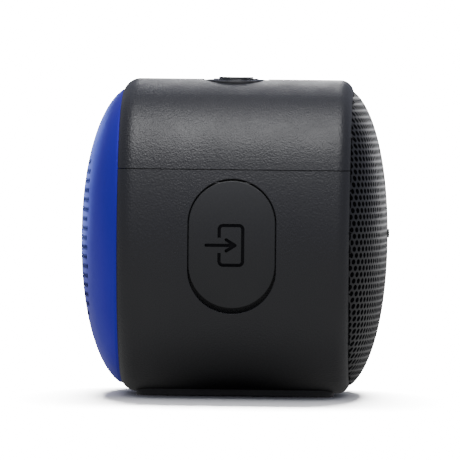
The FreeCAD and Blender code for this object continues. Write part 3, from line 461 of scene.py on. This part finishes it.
def make_materials():
    """One material for each of the record's slots, by slot name."""
    return {
        "housing_shell": grained_plastic(
            "housing_grain", (0.0135, 0.0138, 0.0165), 0.42, 0.42, 0.08
        ),
        "grille_metal": smooth_coating("grille_paint", (0.013, 0.0133, 0.015), 0.4, 0.5),
        "badge_metal": smooth_coating("badge_satin", (0.02, 0.02, 0.022), 0.25),
        "speaker_cloth": woven_cloth("speaker_cloth", (0.006, 0.006, 0.0065), 0.25),
        "blue_cover": blue_coating("blue_satin", (0.035, 0.022, 0.5), 0.38),
        "frame_plastic": grained_plastic("frame_plastic", (0.02, 0.02, 0.021), 0.6, 0.3, 0.02),
        "soft_rubber": soft_rubber("soft_rubber"),
        "key_gloss": smooth_coating("key_gloss", (0.008, 0.008, 0.0095), 0.14, 0.5, coat=0.3),
        "foam": grained_plastic("gasket_foam", (0.03, 0.03, 0.032), 0.95, 0.35, 0.12, 0.1),
        "stamped_steel": smooth_coating("stamped_steel", (0.03, 0.03, 0.032), 0.4, metallic=0.4),
        "bright_steel": brushed_metal("bright_steel", (0.55, 0.56, 0.57), 0.3),
        "screw_steel": brushed_metal("screw_steel", (0.12, 0.12, 0.125), 0.35),
        "ferrite": grained_plastic("ferrite", (0.03, 0.031, 0.034), 0.6, 0.2, 0.02),
        "cone_paper": grained_plastic("cone_paper", (0.018, 0.018, 0.018), 0.85, 0.4, 0.06, 0.2),
        "spider_cloth": woven_cloth("spider_cloth", (0.45, 0.33, 0.14), 0.4),
        "former_film": smooth_coating("former_film", (0.45, 0.24, 0.07), 0.2),
        "copper_wire": brushed_metal("copper_wire", (0.8, 0.36, 0.18), 0.25),
        "contact_brass": brushed_metal("contact_brass", (0.85, 0.64, 0.28), 0.22),
        "radiator_plastic": grained_plastic("radiator_plastic", (0.02, 0.02, 0.02), 0.5, 0.3, 0.01),
        "board_green": circuit_board("board_green"),
        "component_black": grained_plastic("component_black", (0.015, 0.015, 0.015), 0.5, 0.15, 0.01),
        "module_can": brushed_metal("module_can", (0.6, 0.6, 0.58), 0.28),
        "connector_white": smooth_coating("connector_white", (0.72, 0.70, 0.64), 0.4),
        "wire_jacket": smooth_coating("wire_jacket", (0.42, 0.02, 0.02), 0.4),
        "battery_wrap": smooth_coating("battery_wrap", (0.35, 0.37, 0.40), 0.25, metallic=0.6),
    }


# ---- The domed, perforated covers --------------------------------------------------

# How finely and how far out a row's profile is measured, and what counts as one row or corner.
PROFILE_SAMPLES = 700
PROFILE_REACH = 1.35
ROW_STEP = 0.002 * MM
CORNER_STEP = 0.01 * MM

# Shares of the rim: where cells end, where holes end, and what lies on the rim.
CELL_LIMIT = 1.12
RIM_MARGIN = 0.996
ON_RIM = 0.9985
INSIDE_RIM = 0.999

# How far a hole's middle may pass the rim, in hole radii.
HOLE_OVERHANG = 0.8

SLIVER = 0.004 * MM
SHARP_ANGLE = math.radians(38)
FACING_DOME = 0.85


def outline_radius(direction, inset):
    """How far the outline, moved inwards by inset, is from its centre."""
    folded = np.abs((direction + math.pi / 4) % (math.pi / 2) - math.pi / 4)
    along, across = np.cos(folded), np.sin(folded)
    side = SIDE_RADIUS - inset
    side_reach = -SIDE_CENTRE * along + np.sqrt(side**2 - (SIDE_CENTRE * across) ** 2)
    corner = side - ARC_STEP
    middle = CORNER_CENTRE * (along + across)
    corner_reach = middle + np.sqrt(corner**2 - 2 * CORNER_CENTRE**2 + middle**2)
    join = math.atan2(side * math.sin(JOIN_ANGLE), side * math.cos(JOIN_ANGLE) - SIDE_CENTRE)
    return np.where(folded < join, side_reach, corner_reach)


class Dome:
    """One end's domed surface: depth and normal at any place on the outline."""

    def __init__(self, rim_y, apex_y):
        self.rim_y = rim_y
        self.height = abs(apex_y - rim_y)
        self.outwards = math.copysign(1.0, apex_y - rim_y)

    def share(self, x, z):
        """0 at the centre, 1 on the rim."""
        reach = np.hypot(x, z)
        return reach / outline_radius(np.arctan2(z, x), RIM_INSET)

    def rise(self, x, z):
        """Height above the rim's plane."""
        full = 1 - (1 - DOME_RIM_RATIO**DOME_EXPONENT) ** (1 / DOME_EXPONENT)
        share = np.minimum(self.share(x, z), 1.0) * DOME_RIM_RATIO
        fall = 1 - (1 - share**DOME_EXPONENT) ** (1 / DOME_EXPONENT)
        return self.height * (1 - fall / full)

    def points(self, x, z):
        return np.stack([x, self.rim_y + self.outwards * self.rise(x, z), CENTRE_Z + z], axis=-1)

    def normals(self, x, z):
        step = 0.02 * MM
        shrink = 1 - step / RIM_HALF
        x, z = x * shrink, z * shrink
        slope_x = (self.rise(x + step, z) - self.rise(x - step, z)) / (2 * step)
        slope_z = (self.rise(x, z + step) - self.rise(x, z - step)) / (2 * step)
        normal = np.stack([-slope_x, np.full_like(x, self.outwards), -slope_z], axis=-1)
        return normal / np.linalg.norm(normal, axis=-1, keepdims=True)


def wrap(dome, lattice):
    """Lay flat lattice points on the dome, evenly spaced along each level row."""
    samples = np.linspace(0.0, PROFILE_REACH * RIM_HALF, PROFILE_SAMPLES)
    placed = np.empty_like(lattice)
    levels = np.round(lattice[:, 1] / ROW_STEP).astype(int)
    for level in np.unique(levels):
        row = levels == level
        z = lattice[row, 1]
        height = dome.rise(samples, np.full_like(samples, z[0]))
        run = np.concatenate([[0.0], np.cumsum(np.hypot(np.diff(samples), np.diff(height)))])
        across = lattice[row, 0]
        placed[row, 0] = np.sign(across) * np.interp(np.abs(across), run, samples)
        placed[row, 1] = z
    return placed


def pull_inside(points, limit):
    """Draw points beyond the limit share of the rim straight back to it.

    Returns the points, and how far out each was before, 1 being on the limit."""
    reach = np.hypot(points[:, 0], points[:, 1])
    edge = outline_radius(np.arctan2(points[:, 1], points[:, 0]), RIM_INSET) * limit
    factor = np.where(reach > edge, edge / np.maximum(reach, 1e-9), 1.0)
    return points * factor[:, None], reach / edge


def cell_ring(pitch, row_gap):
    """The corners and edge middles of a staggered lattice's cell, in order."""
    tip = (row_gap**2 + pitch**2 / 4) / (2 * row_gap)
    shoulder = row_gap - tip
    quarter = [(pitch / 2, 0.0), (pitch / 2, shoulder), (pitch / 4, (shoulder + tip) / 2)]
    left = [(-u, w) for u, w in reversed(quarter)]
    upper = [*quarter, (0.0, tip), *left]
    return upper + [(u, -w) for u, w in reversed(upper[1:-1])]


def lattice_centres(pitch, row_gap):
    """Staggered rows that cover the dome and a little more."""
    rows = int(RIM_HALF * 1.15 / row_gap) + 1
    columns = int(RIM_HALF * 1.3 / pitch) + 2
    for j in range(-rows, rows + 1):
        for i in range(-columns, columns + 1):
            yield ((i + 0.5 * (j % 2)) * pitch, j * row_gap)


def perforated_sheet(dome, pitch, row_gap, hole_radius, has_hole, rings):
    """The dome's outer surface as lattice cells, with a round hole in some of them.

    Returns points on the plane of the outline (x, z), and faces."""
    ring = cell_ring(pitch, row_gap)
    turns = [math.atan2(w, u) for u, w in ring]
    corners = {}
    flat = []
    on_hole = []

    def add(u, w, belongs_to_hole):
        flat.append((u, w))
        on_hole.append(belongs_to_hole)
        return len(flat) - 1

    def corner(u, w):
        key = (round(u / CORNER_STEP), round(w / CORNER_STEP))
        if key not in corners:
            corners[key] = add(u, w, False)
        return corners[key]

    faces = []
    centres = np.array(list(lattice_centres(pitch, row_gap)))
    shares = dome.share(*wrap(dome, centres).T)
    for (u, w), share in zip(centres, shares):
        if share > CELL_LIMIT:
            continue
        outer = [corner(u + du, w + dw) for du, dw in ring]
        open_cell = share < 1 + HOLE_OVERHANG * hole_radius / RIM_HALF and has_hole(u, w)
        for radius in [hole_radius] if open_cell else rings:
            loop = [
                add(u + radius * math.cos(turn), w + radius * math.sin(turn), open_cell)
                for turn in turns
            ]
            for i in range(len(ring)):
                k = (i + 1) % len(ring)
                faces.append((outer[i], outer[k], loop[k], loop[i]))
            outer = loop
        if not open_cell:
            middle = add(u, w, False)
            for i in range(len(ring)):
                faces.append((outer[i], outer[(i + 1) % len(ring)], middle))
    on_hole = np.array(on_hole)
    placed = wrap(dome, np.array(flat))
    limited, reach = pull_inside(placed, 1.0)
    clipped, _ = pull_inside(placed, RIM_MARGIN)
    limited[on_hole] = clipped[on_hole]
    kept = [face for face in faces if any(reach[v] < INSIDE_RIM for v in face)]
    return limited, kept


def set_surface_normals(mesh, dome, thickness):
    """Give the dome's two skins the exact surface's normals, so they shade smoothly."""
    count = len(mesh.loops)
    normals = np.empty(count * 3)
    mesh.corner_normals.foreach_get("vector", normals)
    normals = normals.reshape(-1, 3)
    verts = np.empty(len(mesh.vertices) * 3)
    mesh.vertices.foreach_get("co", verts)
    verts = verts.reshape(-1, 3)
    corner_vert = np.empty(count, dtype=int)
    mesh.loops.foreach_get("vertex_index", corner_vert)
    face_normals = np.repeat(
        np.array([p.normal for p in mesh.polygons]),
        np.array([p.loop_total for p in mesh.polygons]),
        axis=0,
    )
    places = verts[corner_vert]
    exact = dome.normals(places[:, 0], places[:, 2] - CENTRE_Z)
    facing = np.sum(exact * face_normals, axis=1)
    on_dome = (places[:, 1] - dome.rim_y) * dome.outwards > -thickness
    outer = (facing > FACING_DOME) & on_dome
    under = (facing < -FACING_DOME) & on_dome
    normals[outer] = exact[outer]
    normals[under] = -exact[under]
    mesh.normals_split_custom_set([tuple(n) for n in normals])


def domed_piece(name, node, dome, thickness, skirt, pattern, materials):
    """A perforated, domed sheet with a skirt, standing for its CAD solid.

    Its materials are the outer skin's, then the inner skin's and the hole walls'."""
    flat, faces = perforated_sheet(dome, *pattern)
    points = dome.points(flat[:, 0], flat[:, 1])
    mesh = bpy.data.meshes.new(name)
    mesh.from_pydata([tuple(p) for p in points], [], faces)
    for material in materials:
        mesh.materials.append(material)
    shape = bmesh.new()
    shape.from_mesh(mesh)
    bmesh.ops.dissolve_degenerate(shape, dist=SLIVER, edges=shape.edges)
    loose = [v for v in shape.verts if not v.link_faces]
    bmesh.ops.delete(shape, geom=loose, context="VERTS")
    on_rim = {
        v for v in shape.verts
        if v.is_boundary and dome.share(v.co.x, v.co.z - CENTRE_Z) > ON_RIM
    }
    rim = [e for e in shape.edges if e.is_boundary and on_rim.issuperset(e.verts)]
    skirt_part = bmesh.ops.extrude_edge_only(shape, edges=rim)["geom"]
    for item in skirt_part:
        if isinstance(item, bmesh.types.BMVert):
            item.co.y = dome.rim_y - dome.outwards * skirt
    bmesh.ops.recalc_face_normals(shape, faces=shape.faces)
    lean = sum(face.normal.y * face.calc_area() for face in shape.faces)
    if lean * dome.outwards < 0:
        bmesh.ops.reverse_faces(shape, faces=shape.faces)
    shape.to_mesh(mesh)
    shape.free()
    piece = bpy.data.objects.new(name, mesh)
    bpy.context.scene.collection.objects.link(piece)
    solid = piece.modifiers.new("thickness", "SOLIDIFY")
    solid.thickness = thickness
    solid.offset = -1.0
    solid.material_offset = 1
    solid.material_offset_rim = 1
    apply_modifiers(piece)
    mesh = piece.data
    mesh.shade_smooth()
    mesh.set_sharp_from_angle(angle=SHARP_ANGLE)
    set_surface_normals(mesh, dome, thickness)
    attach(piece, "housing")
    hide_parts(node)
    return piece


def apply_modifiers(piece):
    """Replace the piece's mesh by what its modifiers make of it."""
    graph = bpy.context.evaluated_depsgraph_get()
    made = bpy.data.meshes.new_from_object(piece.evaluated_get(graph))
    piece.modifiers.clear()
    old = piece.data
    piece.data = made
    bpy.data.meshes.remove(old)
    made.name = piece.name


def make_grille(paint):
    dome = Dome(FRONT_Y, grille_low[1])
    skirt = grille_high[1] - FRONT_Y
    pitch = 1.88 * MM
    pattern = (pitch, pitch * math.sqrt(3) / 2, 0.69 * MM, lambda u, w: True, [0.5 * MM])
    return domed_piece(
        "perforated_grille", "front_grille", dome, 0.7 * MM, skirt, pattern, (paint, paint)
    )


def make_back_cover(coating):
    dome = Dome(BACK_Y, cover_high[1])
    skirt = BACK_Y - cover_low[1]
    half_wide, half_high = 24.0 * MM, 23.6 * MM

    def in_zone(u, w):
        return abs(u / half_wide) ** 3 + abs(w / half_high) ** 3 < 1.0

    pattern = (1.75 * MM, 2.43 * MM, 0.7 * MM, in_zone, [0.42 * MM])
    bare = grained_plastic("bare_blue_plastic", (0.004, 0.005, 0.03), 0.7, 0.3, 0.01, 0.1)
    return domed_piece(
        "domed_back_cover", "back_cover", dome, 1.2 * MM, skirt, pattern, (coating, bare)
    )


# ---- Put it together ---------------------------------------------------------------


def dress_nodes(materials):
    """Give each CAD node its slot's material, and the port cover its painted shade in the engraved
    mark.
    """
    for part in frame["record"]["subparts"]:
        node = frame["nodes"][part["node"]]
        node.data.materials.clear()
        node.data.materials.append(materials[part["material_slot"]])
    cover = frame["nodes"]["port_cover"]
    # The port cover's rubber carries painted shade in its mark's groove and along its edge walls.
    cover.data.materials[0] = rubber_with_painted_groove_shade("port_cover_rubber_groove_shade", cover)


make_camera()
floor = make_stage()
receivers = make_lights(floor)
materials = make_materials()
dress_nodes(materials)
grille = make_grille(materials["grille_metal"])
back_cover = make_back_cover(materials["blue_cover"])
receivers["grille"].objects.link(grille)
receivers["body"].objects.link(back_cover)
receivers["cover"].objects.link(back_cover)
